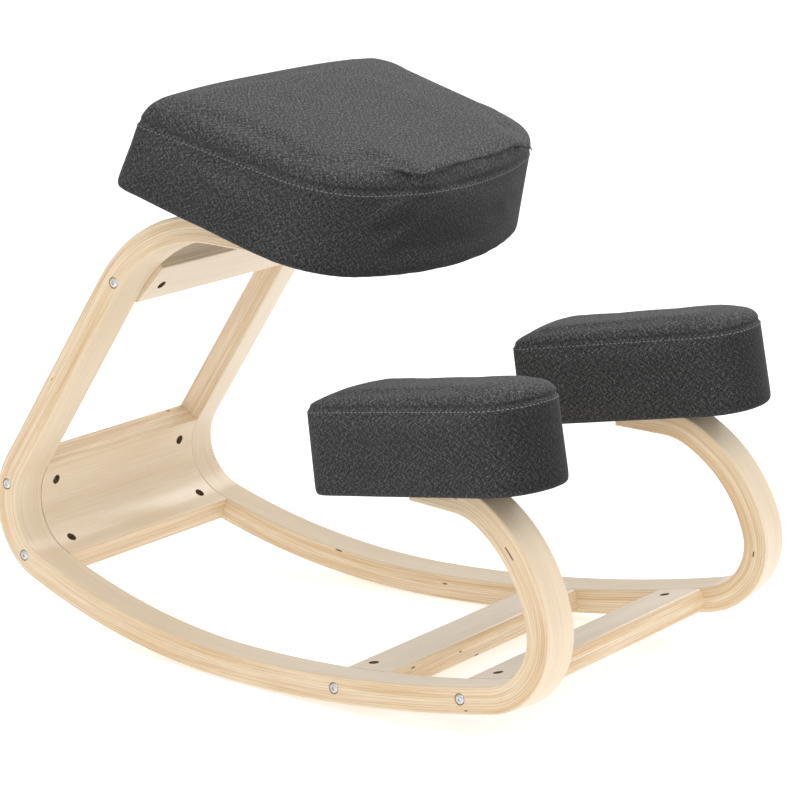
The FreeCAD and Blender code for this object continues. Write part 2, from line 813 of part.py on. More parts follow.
def flat_piece(name, kind, inset, height, thickness, placement, tools):
    """Board or cloth cut to the cushion's outline; thickness is a sheet expression."""
    body, sketch, pad = outlined_body(name + "_blank", "XY_Plane", d_outline(kind, inset), thickness)
    body.Placement = raised(placement, height)
    return keep(name, cut(name, body, tools))


def tee_nut(name, point, up, base_height):
    """Tee nut let into the board's top, bored for the screw."""
    top = point + up * base_height
    flange = rod(name + "_flange", "sizes.tee_flange_diameter", "sizes.tee_flange_thickness", top, up * -1)
    barrel = rod(name + "_barrel", "sizes.tee_barrel_diameter", "sizes.tee_barrel_length", top, up * -1)
    bore = rod(name + "_bore", "sizes.bolt_diameter", "sizes.tee_barrel_length + 2", top + up, up * -1)
    return cut(name, together("Part::MultiFuse", name + "_body", [flange, barrel]), [bore])


def tee_nut_holes(name, point, up, base_height):
    top = point + up * base_height
    flange = rod(name + "_flange_seat", "sizes.tee_flange_diameter", "sizes.tee_flange_thickness", top, up * -1)
    barrel = rod(name + "_barrel_seat", "sizes.tee_barrel_diameter", "sizes.tee_barrel_length", top, up * -1)
    return [flange, barrel]


def cushion_screw(name, kind, point, up):
    """Screw from the pocket under the rail or arm up into the tee nut."""
    seat = point - up * size(kind + "_screw_grip")
    reach = "sizes.%s_screw_grip + sizes.under_cloth_thickness + sizes.board_thickness - 1" % kind
    shank = rod(name + "_shank", "sizes.bolt_diameter", reach, seat, up)
    head = rod(name + "_head", "sizes.bolt_head_diameter", "sizes.bolt_head_height", seat, up * -1)
    low = seat - up * (size("bolt_head_height") - size("socket_depth"))
    shape = {"Circumradius": "sizes.socket_width / sqrt(3)", "Height": "sizes.socket_depth + 1"}
    socket = bound("Part::Prism", name + "_socket", shape, along(low, up * -1))
    socket.Polygon = 6
    return cut(name, together("Part::MultiFuse", name + "_body", [shank, head]), [socket])


def build_cushion(prefix, kind, sides):
    """All pieces of one cushion: cover, foam, board, under-cloth, tee nuts and screws."""
    placement = cushion_placement(kind, sides[0])
    cover_shape, foam_shape = cushion_shapes(kind)
    soft_piece(prefix + "_cover", cover_shape, placement)
    soft_piece(prefix + "_foam", foam_shape, placement)
    recess = size(kind + "_recess")
    up = board_normal(kind, sides[0])
    points = [point for side in sides for point in screw_points(kind, side)]
    board_top = size("under_cloth_thickness") + size("board_thickness")
    holes, cloth_holes, nuts, screws = [], [], [], []
    for number, point in enumerate(points, start=1):
        tag = "%s_%d" % (prefix, number)
        width = "sizes.bolt_diameter + 2 * sizes.hole_clearance"
        reach = "sizes.board_thickness + sizes.under_cloth_thickness + 2"
        holes.append(rod(tag + "_board_hole", width, reach, point - up, up))
        holes += tee_nut_holes(tag, point, up, board_top)
        cloth_holes.append(rod(tag + "_cloth_hole", width, "sizes.under_cloth_thickness + 2", point - up, up))
        nuts.append(tee_nut(tag + "_tee_nut", point, up, board_top))
        screws.append(cushion_screw(tag + "_screw", kind, point, up))
    lip = size("cushion_lip")
    board_inset = lip - size("cover_thickness")
    flat_piece(prefix + "_board", kind, board_inset, recess, "sizes.board_thickness", placement, holes)
    cloth_inset = lip + size("soft_clearance")
    cloth_height = cushion_underside(kind)
    cloth_name = prefix + "_under_cloth"
    flat_piece(cloth_name, kind, cloth_inset, cloth_height, "sizes.under_cloth_thickness", placement, cloth_holes)
    keep(prefix + "_tee_nuts", together("Part::Compound", prefix + "_tee_nuts", nuts))
    keep(prefix + "_screws", together("Part::Compound", prefix + "_screws", screws))


build_cushion("seat", "seat", [-1, 1])
for side_name, side in SIDES:
    build_cushion(side_name + "_knee", "knee", [side])

doc.recompute()

# Every object must have built, and every sub-part must be sound, before anything is written.
for obj in doc.Objects:
    if "Invalid" in obj.State or "Error" in obj.State:
        raise RuntimeError("%s did not build: %s" % (obj.Name, obj.State))
for name, obj in NODES.items():
    if obj.Shape.isNull() or not obj.Shape.isValid() or not obj.Shape.Solids:
        raise RuntimeError("%s has no sound solid" % name)

os.makedirs("parts", exist_ok=True)
for name, obj in NODES.items():
    obj.Shape.exportStep("parts/%s.step" % name)
    box = obj.Shape.BoundBox
    print("%-30s %2d solids %9.1f cm3" % (name, len(obj.Shape.Solids), obj.Shape.Volume / 1000),
          "x %.1f %.1f y %.1f %.1f z %.1f %.1f" % (box.XMin, box.XMax, box.YMin, box.YMax, box.ZMin, box.ZMax))
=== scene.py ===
# %% [markdown]
# # Rocking kneeling chair
# A wooden rocking chair with a sloping seat and two shin pads. Its frames, plate and bars are bent and flat birch
# plywood, and its cushions are foam on boards, covered with a charcoal fabric.
# The CAD model gives every place and size. This script adds the looks: wood with its layers, stuffed cushions with
# their seams, and the screws' rounded heads.

# %% Load the model
import math

import bpy
import bmesh
import numpy as np
from mathutils import Matrix, Vector
from mathutils.bvhtree import BVHTree


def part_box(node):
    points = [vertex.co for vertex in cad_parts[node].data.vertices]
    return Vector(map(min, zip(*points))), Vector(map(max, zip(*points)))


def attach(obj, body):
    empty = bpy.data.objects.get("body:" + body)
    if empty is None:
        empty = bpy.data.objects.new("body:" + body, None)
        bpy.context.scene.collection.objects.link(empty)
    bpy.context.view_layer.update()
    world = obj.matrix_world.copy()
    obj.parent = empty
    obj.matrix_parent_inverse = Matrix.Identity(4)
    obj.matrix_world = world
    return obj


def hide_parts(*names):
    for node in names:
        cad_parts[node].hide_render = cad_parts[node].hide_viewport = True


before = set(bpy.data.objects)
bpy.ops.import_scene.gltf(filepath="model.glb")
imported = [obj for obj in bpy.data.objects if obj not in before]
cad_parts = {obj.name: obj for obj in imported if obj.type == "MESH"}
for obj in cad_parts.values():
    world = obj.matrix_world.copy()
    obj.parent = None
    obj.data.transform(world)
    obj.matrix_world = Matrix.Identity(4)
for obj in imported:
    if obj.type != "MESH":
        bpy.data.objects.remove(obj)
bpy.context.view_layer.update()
scene = bpy.context.scene
bpy.ops.object.select_all(action="DESELECT")
print("CAD nodes:", len(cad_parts))


# %% [markdown]
# ## Material helpers
# Every material is a small network of nodes. One helper adds a node and fills or links its inputs, so that each
# material below reads as a list of its layers.

# %% Helpers for node materials
def put(tree, kind, settings=None, **inputs):
    """Adds a node, sets its options, and fills its inputs with values or links."""
    made = tree.nodes.new(kind)
    for name, value in (settings or {}).items():
        setattr(made, name, value)
    for name, value in inputs.items():
        socket = made.inputs[int(name[1:])] if name[0] == "i" and name[1:].isdigit() else made.inputs[name]
        if isinstance(value, bpy.types.NodeSocket):
            tree.links.new(value, socket)
        else:
            socket.default_value = value
    return made


def calc(tree, operation, *values):
    made = put(tree, "ShaderNodeMath", {"operation": operation}, **{"i%d" % i: v for i, v in enumerate(values)})
    return made.outputs[0]


def vector(tree, x, y, z):
    return put(tree, "ShaderNodeCombineXYZ", i0=x, i1=y, i2=z).outputs[0]


def noise(tree, place, scale, detail=2.0, roughness=0.5):
    made = put(tree, "ShaderNodeTexNoise", Vector=place, Scale=scale, Detail=detail, Roughness=roughness)
    return made.outputs["Fac"]


def stretched_noise(tree, along, along_scale, across, across_scale, third, detail=2.0, roughness=0.5):
    """Noise with a scale of its own along and across the grain."""
    first = calc(tree, "MULTIPLY", along, along_scale)
    second = calc(tree, "MULTIPLY", across, across_scale)
    return noise(tree, vector(tree, first, second, third), 1.0, detail, roughness)


def ramp(tree, value, *stops):
    """Colour ramp from (position, colour) stops."""
    made = put(tree, "ShaderNodeValToRGB", Fac=value)
    elements = made.color_ramp.elements
    while len(elements) < len(stops):
        elements.new(0.5)
    for element, (position, colour) in zip(elements, stops):
        element.position = position
        element.color = (*colour, 1)
    return made.outputs[0]


def blend(tree, kind, share, first, second):
    made = put(tree, "ShaderNodeMix", {"data_type": "RGBA", "blend_type": kind}, i0=share, i6=first, i7=second)
    return made.outputs[2]


def grey(value):
    return (value, value, value)


def surface(name):
    """New material with an empty network, its output and its main shader."""
    material = bpy.data.materials.new(name)
    material.use_nodes = True
    tree = material.node_tree
    shader = tree.nodes["Principled BSDF"]
    return material, tree, shader


def bump(tree, shader, height, distance, strength=1.0):
    made = put(tree, "ShaderNodeBump", Height=height, Distance=distance, Strength=strength)
    tree.links.new(made.outputs[0], shader.inputs["Normal"])


def run_layer_depth(tree):
    """Place in a wooden piece: along the grain, across its layers, and across its width, in metres."""
    place = put(tree, "ShaderNodeAttribute", {"attribute_name": "grain"})
    parts = put(tree, "ShaderNodeSeparateXYZ", Vector=place.outputs["Vector"])
    return parts.outputs[0], parts.outputs[1], parts.outputs[2]


# %% [markdown]
# ## Birch plywood
# The sawn sides of bent plywood show its layers: pale bands, some warmer, with long streaks along the curve, thin
# glue lines and a few dark gaps in the inner layers. The broad faces show one smooth veneer under satin lacquer.

# %% Birch materials
LAYERS = 10
PLY = 0.0266


def layered_birch():
    material, tree, shader = surface("birch_layers")
    run, layer, depth = run_layer_depth(tree)
    band = calc(tree, "MULTIPLY", layer, LAYERS / PLY)
    index = calc(tree, "FLOOR", band)
    within = calc(tree, "FRACT", band)
    side = calc(tree, "MULTIPLY", depth, 37.0)
    tint = put(tree, "ShaderNodeTexWhiteNoise", {"noise_dimensions": "1D"}, W=calc(tree, "ADD", index, 3.7))
    streak = stretched_noise(tree, run, 9.0, layer, 700.0, side, 4.0, 0.6)
    fine = stretched_noise(tree, run, 60.0, layer, 3200.0, side, 3.0, 0.6)
    wide = stretched_noise(tree, run, 4.0, layer, 160.0, side)
    pale = blend(tree, "MIX", tint.outputs["Value"], (0.84, 0.72, 0.54, 1), (0.76, 0.58, 0.37, 1))
    warm = ramp(tree, wide, (0.42, (0.84, 0.72, 0.54)), (0.66, (0.68, 0.45, 0.23)))
    colour = blend(tree, "MIX", 0.5, pale, warm)
    colour = blend(tree, "MULTIPLY", 0.85, colour, ramp(tree, streak, (0.30, (0.78, 0.66, 0.50)), (0.60, grey(1.0))))
    colour = blend(tree, "MULTIPLY", 0.30, colour, ramp(tree, fine, (0.32, (0.72, 0.6, 0.48)), (0.55, grey(1.0))))
    glue = calc(tree, "LESS_THAN", within, 0.075)
    patchy = noise(tree, vector(tree, calc(tree, "MULTIPLY", run, 22.0), index, side), 1.0, 2.0)
    glue = calc(tree, "MULTIPLY", glue, ramp(tree, patchy, (0.38, grey(0.25)), (0.60, grey(0.85))))
    colour = blend(tree, "MIX", glue, colour, (0.36, 0.23, 0.12, 1))
    gap_place = vector(tree, calc(tree, "MULTIPLY", run, 34.0), calc(tree, "MULTIPLY", index, 5.3), side)
    gap = ramp(tree, noise(tree, gap_place, 1.0, 1.0), (0.755, grey(0.0)), (0.775, grey(1.0)))
    inner = calc(tree, "LESS_THAN", calc(tree, "ABSOLUTE", calc(tree, "SUBTRACT", within, 0.5)), 0.28)
    colour = blend(tree, "MIX", calc(tree, "MULTIPLY", gap, inner), colour, (0.12, 0.07, 0.035, 1))
    tree.links.new(colour, shader.inputs["Base Color"])
    tree.links.new(ramp(tree, streak, (0.2, grey(0.50)), (0.8, grey(0.40))), shader.inputs["Roughness"])
    height = calc(tree, "SUBTRACT", calc(tree, "MULTIPLY", fine, 0.5), calc(tree, "ADD", glue, gap))
    bump(tree, shader, height, 0.00012)
    return material


def veneer_birch():
    material, tree, shader = surface("birch_veneer")
    run, layer, depth = run_layer_depth(tree)
    face = calc(tree, "MULTIPLY", layer, 3.0)
    broad = stretched_noise(tree, run, 3.0, depth, 26.0, face, 3.0)
    line = stretched_noise(tree, run, 9.0, depth, 420.0, face, 3.0, 0.6)
    pore = stretched_noise(tree, run, 90.0, depth, 2600.0, face)
    colour = ramp(tree, broad, (0.3, (0.70, 0.565, 0.40)), (0.7, (0.78, 0.655, 0.49)))
    colour = blend(tree, "MULTIPLY", 0.45, colour, ramp(tree, line, (0.34, (0.88, 0.80, 0.70)), (0.60, grey(1.0))))
    colour = blend(tree, "MULTIPLY", 0.35, colour, ramp(tree, pore, (0.28, (0.80, 0.70, 0.58)), (0.42, grey(1.0))))
    tree.links.new(colour, shader.inputs["Base Color"])
    tree.links.new(ramp(tree, broad, (0.2, grey(0.34)), (0.8, grey(0.27))), shader.inputs["Roughness"])
    shader.inputs["Coat Weight"].default_value = 0.25
    shader.inputs["Coat Roughness"].default_value = 0.3
    bump(tree, shader, calc(tree, "ADD", calc(tree, "MULTIPLY", line, 0.6), pore), 0.00004)
    return material


def solid_wood(name, pale, dark, scale):
    """Straight-grained wood for pieces that mostly lie hidden in the joints."""
    material, tree, shader = surface(name)
    place = put(tree, "ShaderNodeTexCoord").outputs["Object"]
    along = put(tree, "ShaderNodeMapping", {"vector_type": "POINT"}, Vector=place, Scale=(scale * 0.1, scale, scale))
    grain = noise(tree, along.outputs[0], 1.0, 4.0, 0.6)
    tree.links.new(ramp(tree, grain, (0.35, dark), (0.65, pale)), shader.inputs["Base Color"])
    tree.links.new(ramp(tree, grain, (0.3, grey(0.75)), (0.7, grey(0.6))), shader.inputs["Roughness"])
    bump(tree, shader, grain, 0.0001)
    return material


LAYERED = layered_birch()
# Wood for the inside of the drilled holes: raw wood darkened with painted shade, as deep in a hole.
HOLE_WOOD_AND_SHADE = solid_wood("hole_wood_and_painted_shade", (0.20, 0.125, 0.06), (0.09, 0.05, 0.025), 400.0)
VENEER = veneer_birch()
BOARD_WOOD = solid_wood("board_plywood", (0.62, 0.48, 0.32), (0.46, 0.33, 0.2), 300.0)
DOWEL_WOOD = solid_wood("dowel_beech", (0.66, 0.46, 0.30), (0.52, 0.34, 0.2), 900.0)
print("wood materials:", [m.name for m in (LAYERED, VENEER, BOARD_WOOD, DOWEL_WOOD)])


# %% [markdown]
# ## Fabric, cloth and steel
# The cover is a heathered weave: short dark and light threads run both ways, so from near it looks speckled and
# from far it is charcoal. The weave follows each panel, with a map of its own that is made with the cushions.

# %% Fabric and metal materials
def threads(tree, along, across):
    """Fine rows of threads, each with dark and light slubs along its length."""
    row = calc(tree, "FLOOR", calc(tree, "MULTIPLY", across, 1400.0))
    place = calc(tree, "ADD", calc(tree, "MULTIPLY", along, 300.0), calc(tree, "MULTIPLY", row, 17.31))
    return put(tree, "ShaderNodeTexNoise", {"noise_dimensions": "1D"}, W=place, Scale=1.0, Detail=1.0).outputs["Fac"]


def charcoal_weave():
    material, tree, shader = surface("charcoal_weave")
    place = put(tree, "ShaderNodeUVMap", {"uv_map": "weave"})
    parts = put(tree, "ShaderNodeSeparateXYZ", Vector=place.outputs[0])
    u, v = parts.outputs[0], parts.outputs[1]
    across = threads(tree, u, v)
    upward = threads(tree, v, u)
    both = calc(tree, "ADD", across, upward)
    speck = stretched_noise(tree, u, 1400.0, v, 1400.0, 0.0, 1.0)
    cloud = stretched_noise(tree, u, 30.0, v, 30.0, 0.0, 3.0)
    mixed = calc(tree, "ADD", calc(tree, "MULTIPLY", both, 0.45), calc(tree, "MULTIPLY", speck, 0.10))
    colour = ramp(tree, mixed, (0.32, grey(0.016)), (0.44, grey(0.044)), (0.54, grey(0.082)), (0.66, grey(0.22)))
    colour = blend(tree, "MULTIPLY", 0.5, colour, ramp(tree, cloud, (0.35, grey(0.82)), (0.65, grey(1.0))))
    # Painted shade: the cloth is darkened down the sides and front of each cushion by a value stored with its points.
    painted_side_shade = put(tree, "ShaderNodeAttribute", {"attribute_name": "painted_side_shade"}).outputs["Fac"]
    colour = blend(tree, "MULTIPLY", 1.0, colour, ramp(tree, painted_side_shade, (0.0, grey(0.0)), (1.0, grey(1.0))))
    tree.links.new(colour, shader.inputs["Base Color"])
    shader.inputs["Roughness"].default_value = 0.92
    shader.inputs["Specular IOR Level"].default_value = 0.25
    shader.inputs["Sheen Weight"].default_value = 0.08
    shader.inputs["Sheen Roughness"].default_value = 0.5
    shader.inputs["Sheen Tint"].default_value = (0.7, 0.7, 0.72, 1)
    wave_u = calc(tree, "SINE", calc(tree, "MULTIPLY", u, 2 * math.pi / 0.0014))
    wave_v = calc(tree, "SINE", calc(tree, "MULTIPLY", v, 2 * math.pi / 0.0014))
    weave = calc(tree, "MULTIPLY", wave_u, wave_v)
    bump(tree, shader, calc(tree, "ADD", calc(tree, "MULTIPLY", weave, 0.35), both), 0.0001, 0.8)
    return material


def plain_thread(name, colour):
    material, tree, shader = surface(name)
    place = put(tree, "ShaderNodeTexCoord").outputs["Object"]
    twist = noise(tree, place, 2500.0, 2.0)
    darker = tuple(0.55 * value for value in colour)
    tree.links.new(ramp(tree, twist, (0.35, darker), (0.65, colour)), shader.inputs["Base Color"])
    shader.inputs["Roughness"].default_value = 0.8
    bump(tree, shader, twist, 0.0001)
    return material


def steel(name, base, rough):
    material, tree, shader = surface(name)
    place = put(tree, "ShaderNodeTexCoord").outputs["Object"]
    stain = noise(tree, place, 260.0, 3.0)
    tree.links.new(ramp(tree, stain, (0.3, grey(base * 0.82)), (0.7, grey(base))), shader.inputs["Base Color"])
    tree.links.new(ramp(tree, stain, (0.3, grey(rough * 1.3)), (0.7, grey(rough))), shader.inputs["Roughness"])
    shader.inputs["Metallic"].default_value = 1.0
    bump(tree, shader, noise(tree, place, 1800.0, 2.0), 0.00003)
    return material


WEAVE = charcoal_weave()
STITCH = plain_thread("stitching_thread", (0.24, 0.24, 0.245))
UNDER_CLOTH = plain_thread("black_felt", (0.02, 0.02, 0.021))
FOAM = plain_thread("grey_foam", (0.3, 0.3, 0.29))
STEEL = steel("zinc_plated_steel", 0.72, 0.24)
print("soft and metal materials ready")


# %% [markdown]
# ## Finishes of the CAD nodes
# Nodes whose shape is right keep it. Each gets the finish of its material slot from the record.

# %% Give every CAD node its finish
FINISHES = {
    "birch": VENEER,
    "board_wood": BOARD_WOOD,
    "dowel_wood": DOWEL_WOOD,
    "cover_fabric": WEAVE,
    "foam": FOAM,
    "under_cloth": UNDER_CLOTH,
    "steel": STEEL,
}


def finish_of(name):
    if name.endswith(("_bolts", "_barrel_nuts", "_tee_nuts", "_screws")):
        return "steel"
    for ending, slot in (("_dowels", "dowel_wood"), ("_board", "board_wood"), ("_foam", "foam"),
                         ("_under_cloth", "under_cloth"), ("_cover", "cover_fabric")):
        if name.endswith(ending):
            return slot
    return "birch"


for name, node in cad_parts.items():
    node.data.materials.clear()
    node.data.materials.append(FINISHES[finish_of(name)])
print("nodes with a finish:", len(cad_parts))


# %% [markdown]
# ## Wooden pieces
# Each wooden node is copied, its loose triangles are merged, and every point gets its place in the wood: how far
# along the grain it lies, in which layer, and how far across. For a bent frame the grain follows the curve, so the
# curve of the side frames is walked once more here, from the same few lengths, radii and angles.

# %% The frames' curve
THICKNESS = 0.0266
WIDTH = 0.039
SPLAY = 4.42
LEAN = 3.02
TRACK = 0.1938
FLOOR_POINT = (0.03114, WIDTH * math.sin(math.radians(LEAN)))
UPRIGHT_ANGLE = 57.3
REAR_STEPS = [
    (0.098, 0.0),
    (0.172, 1.0 + UPRIGHT_ANGLE),
    (0.2418, 0.0),
    (0.0825, 180 - UPRIGHT_ANGLE - 20.8),
    (0.785, 20.8),
]
FRONT_STEPS = [(1.5, 12.66), (0.079, 91.0), (0.1607, 45.6), (0.0846, 28.1), (0.0536, 0.0)]


def unit(angle):
    return np.array([math.cos(math.radians(angle)), math.sin(math.radians(angle))])


def walk(steps, heading):
    """Lines (length, 0) and clockwise arcs (radius, sweep), each with its start, heading and distance so far."""
    point, travelled, parts = np.zeros(2), 0.0, []
    for amount, sweep in steps:
        parts.append((point, heading, amount, sweep, travelled))
        if sweep:
            centre = point + unit(heading - 90) * amount
            heading -= sweep
            point = centre + unit(heading + 90) * amount
            travelled += math.radians(sweep) * amount
        else:
            point = point + unit(heading) * amount
            travelled += amount
    return parts, point, travelled


rear_parts, rear_end, rear_length = walk(REAR_STEPS, 1.0)
front_parts, _, front_length = walk(FRONT_STEPS, -180)
CURVE = [(start - rear_end, *rest) for start, *rest in rear_parts]
CURVE += [(*part[:4], part[4] + rear_length) for part in front_parts]


def along_curve(points):
    """Distance along the curve and depth below its outer edge of points in the frame's plane."""
    best = np.full(len(points), 1e9)
    run = np.zeros(len(points))
    layer = np.zeros(len(points))
    for start, heading, amount, sweep, travelled in CURVE:
        if sweep:
            centre = start + unit(heading - 90) * amount
            offset = points - centre
            radius = np.linalg.norm(offset, axis=1)
            bearing = np.degrees(np.arctan2(offset[:, 1], offset[:, 0]))
            turned = (heading + 90 - bearing + 180) % 360 - 180
            share = np.clip(turned / sweep, 0, 1)
            part_run = travelled + np.radians(share * sweep) * amount
            part_layer = amount - radius
            outside = np.abs(turned - share * sweep) * math.pi / 180 * radius
        else:
            offset = points - start
            distance = offset @ unit(heading)
            share = np.clip(distance, 0, amount)
            part_run = travelled + share
            part_layer = offset @ unit(heading - 90)
            outside = np.abs(distance - share)
        wrong = outside + np.maximum(0, -part_layer) + np.maximum(0, part_layer - THICKNESS)
        better = wrong < best
        best[better] = wrong[better]
        run[better] = part_run[better]
        layer[better] = part_layer[better]
    return run, layer


def frame_matrix(side):
    """Plane of a frame's outer face: splayed towards the front and leaning inwards at the top."""
    turn = Matrix.Rotation(math.radians(90 + side * SPLAY), 4, "Z")
    lean = Matrix.Rotation(math.radians(90 - side * LEAN), 4, "X")
    return Matrix.Translation((side * TRACK, FLOOR_POINT[0], FLOOR_POINT[1])) @ turn @ lean


print("length of a frame's curve: %.3f m" % (rear_length + front_length))


# %% Copy the wooden nodes and map their grain
def points_of(mesh):
    co = np.empty(len(mesh.vertices) * 3)
    mesh.vertices.foreach_get("co", co)
    return co.reshape(-1, 3)


def normals_of(mesh):
    normals = np.empty(len(mesh.vertices) * 3)
    mesh.vertices.foreach_get("normal", normals)
    return normals.reshape(-1, 3)


def merged_copy(node_name, name):
    """Copy of a CAD node's mesh as one welded surface, without long thin shading errors."""
    piece = bpy.data.objects.new(name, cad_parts[node_name].data.copy())
    scene.collection.objects.link(piece)
    bpy.ops.object.select_all(action="DESELECT")
    bpy.context.view_layer.objects.active = piece
    piece.select_set(True)
    bpy.ops.object.mode_set(mode="EDIT")
    bpy.ops.mesh.select_all(action="SELECT")
    bpy.ops.mesh.remove_doubles(threshold=0.00002)
    bpy.ops.mesh.customdata_custom_splitnormals_clear()
    bpy.ops.object.mode_set(mode="OBJECT")
    bpy.ops.object.shade_smooth_by_angle(angle=math.radians(40))
    even = piece.modifiers.new("Even shading", "WEIGHTED_NORMAL")
    even.keep_sharp = True
    bpy.ops.object.modifier_apply(modifier="Even shading")
    return piece


def loose_parts(mesh):
    """Points of each separate solid of a node."""
    work = bmesh.new()
    work.from_mesh(mesh)
    bmesh.ops.remove_doubles(work, verts=work.verts, dist=0.00002)
    seen, parts = set(), []
    for vert in work.verts:
        if vert in seen:
            continue
        stack, part = [vert], []
        seen.add(vert)
        while stack:
            here = stack.pop()
            part.append(here.co.copy())
            for edge in here.link_edges:
                other = edge.other_vert(here)
                if other not in seen:
                    seen.add(other)
                    stack.append(other)
        parts.append(np.array([co[:] for co in part]))
    work.free()
    return parts


def in_plane(points, matrix):
    inverse = np.array(matrix.inverted())
    return points @ inverse[:3, :3].T + inverse[:3, 3]


def map_grain(piece, mapper, layer_axis_faces):
    """Stores the place in the wood per corner and gives sawn sides and veneered faces their materials."""
    mesh = piece.data
    mesh.materials.clear()
    mesh.materials.append(VENEER)
    mesh.materials.append(LAYERED)
    bpy.context.view_layer.objects.active = piece
    grain = mesh.attributes.new("grain", "FLOAT_VECTOR", "POINT")
    places = mapper(points_of(mesh))
    grain.data.foreach_set("vector", np.ascontiguousarray(places, dtype=np.float32).ravel())
    for polygon in mesh.polygons:
        polygon.material_index = 1 if layer_axis_faces(polygon) else 0


HOLE_REACH = 0.016
HOLE_RADIUS = 0.0056
HOLE_FACE_AREA = 0.00006


def paint_shade_in_holes(piece, nuts_node):
    """Faces of the drilled holes round the barrel nuts get raw wood, darkened with the painted shade of a deep hole.
    """
    piece.data.materials.append(HOLE_WOOD_AND_SHADE)
    for part in loose_parts(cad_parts[nuts_node].data):
        middle = (part.max(0) + part.min(0)) / 2
        for polygon in piece.data.polygons:
            offset = np.array(polygon.center) - middle
            near = np.linalg.norm(offset) < HOLE_REACH and polygon.area < HOLE_FACE_AREA
            if near and abs(polygon.normal.dot(Vector(offset))) < HOLE_RADIUS:
                polygon.material_index = 2


def wooden(node_name, mapper, shows_layers):
    piece = merged_copy(node_name, node_name + "_wood")
    map_grain(piece, mapper, shows_layers)
    if node_name + "_barrel_nuts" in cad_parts:
        paint_shade_in_holes(piece, node_name + "_barrel_nuts")
    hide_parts(node_name)
    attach(piece, "root")
    print(piece.name, "faces:", len(piece.data.polygons))
    return piece


for side_name, side in (("right", -1), ("left", 1)):
    matrix = frame_matrix(side)

    def frame_grain(points, matrix=matrix, side=side):
        local = in_plane(points, matrix)
        run, layer = along_curve(local[:, :2])
        return np.stack([run + 3 * (side + 1), layer, np.abs(local[:, 2])], 1)

    def sawn_side(polygon, matrix=matrix):
        return abs(matrix.inverted().to_3x3().row[2].dot(polygon.normal)) > 0.8

    wooden(side_name + "_side_frame", frame_grain, sawn_side)

# %% [markdown]
# The plate is bent like the frames' rear bends, so its grain follows their centre. The bars are flat, and their
# layers lie across their thickness. The direction of that thickness is the bar's tilt.

# %% Plate and bars
RIGHT = frame_matrix(-1)
bend_start, bend_heading, bend_radius = CURVE[3][0], CURVE[3][1], CURVE[3][2]
BEND_CENTRE = bend_start + unit(bend_heading - 90) * bend_radius


def plate_place(points):
    """Angle round the rear bend and radius, with the plane taken straight across the chair."""
    centre = RIGHT @ Vector((BEND_CENTRE[0], BEND_CENTRE[1], WIDTH))
    offset = points[:, 1:] - np.array([centre.y, centre.z])
    return np.arctan2(offset[:, 1], offset[:, 0]), np.linalg.norm(offset, axis=1)


def plate_grain(points):
    angle, radius = plate_place(points)
    return np.stack([9 + points[:, 0], 0.0825 - radius, angle * 0.07], 1)


def plate_edge(polygon):
    centre = np.array([polygon.center])
    angle, radius = plate_place(centre)
    across = Vector((0, math.cos(angle[0]), math.sin(angle[0])))
    return abs(polygon.normal.dot(across)) < 0.6 and abs(polygon.normal.x) < 0.7


wooden("rear_plate", plate_grain, plate_edge)

BAR_TILTS = {"rear_floor_crossbar": -95.7, "front_floor_crossbar": -101.4, "top_crossbar": 41.3}
for bar_name, tilt in BAR_TILTS.items():
    deep = Vector((0, math.cos(math.radians(tilt)), math.sin(math.radians(tilt))))
    low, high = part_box(bar_name)
    middle = (low + high) / 2

    def bar_grain(points, deep=deep, middle=middle, tilt=tilt):
        wide = np.array([0, -deep.z, deep.y])
        offset = points - np.array(middle)
        return np.stack([points[:, 0] + tilt, offset @ np.array(deep) + 0.0133, offset @ wide + 0.05], 1)

    def bar_edge(polygon, deep=deep):
        return abs(polygon.normal.dot(deep)) < 0.7 and abs(polygon.normal.x) < 0.7

    wooden(bar_name, bar_grain, bar_edge)


# %% [markdown]
# ## Cushions
# Each cushion is foam on a board inside a sewn cover. A flat D-shaped rim is drawn, then extruded level by level into
# a box with drawn-in sides and a recess below. A voxel remesh makes it one even skin, the top is raised into a crown,
# and a short cloth simulation with air pressure lets the cover swell between its edges.

# %% Cushion shapes
SEAT = {
    "rear": 0.207, "front": 0.1925, "length": 0.286, "bulge": 0.0485, "front_corner": 0.095, "rear_corner": 0.018,
    "seam": 0.070, "seam_rise": 4.0, "inset": 0.0078, "recess": 0.012,
    "crown": 0.0325, "crown_rise": 1.2, "dome": 0.004,
    "profile": [(0.0012, 0.30), (0.003, 0.58), (0.006, 0.77), (0.012, 0.86), (0.022, 0.90), (0.04, 0.94), (0.07, 1.0)],
}
KNEE = {
    "rear": 0.060, "front": 0.053, "length": 0.2535, "bulge": 0.0235, "front_corner": 0.045, "rear_corner": 0.014,
    "seam": 0.084, "seam_rise": 0.0, "inset": 0.0014, "crown": 0.0100, "crown_rise": 1.2, "dome": 0.0, "recess": 0.009,
    "profile": [(0.0015, 0.25), (0.004, 0.52), (0.009, 0.75), (0.016, 0.88), (0.026, 1.0)],
}
LIP = 0.0135
RIM_POINTS = 180
SEAT_PLACE = Matrix.Translation((0, 0.1653, 0.4846)) @ Matrix.Rotation(math.radians(17.1), 4, "X")


def knee_place(side):
    turn = Matrix.Rotation(math.radians(side * 6.42), 4, "Z")
    return Matrix.Translation((side * 0.1672, -0.1001, 0.2161)) @ turn @ Matrix.Rotation(math.radians(-9.25), 4, "X")


def arc_points(centre, radius, start, end, count):
    angles = np.radians(np.linspace(start, end, count))
    return np.stack([centre[0] + radius * np.cos(angles), centre[1] + radius * np.sin(angles)], 1)


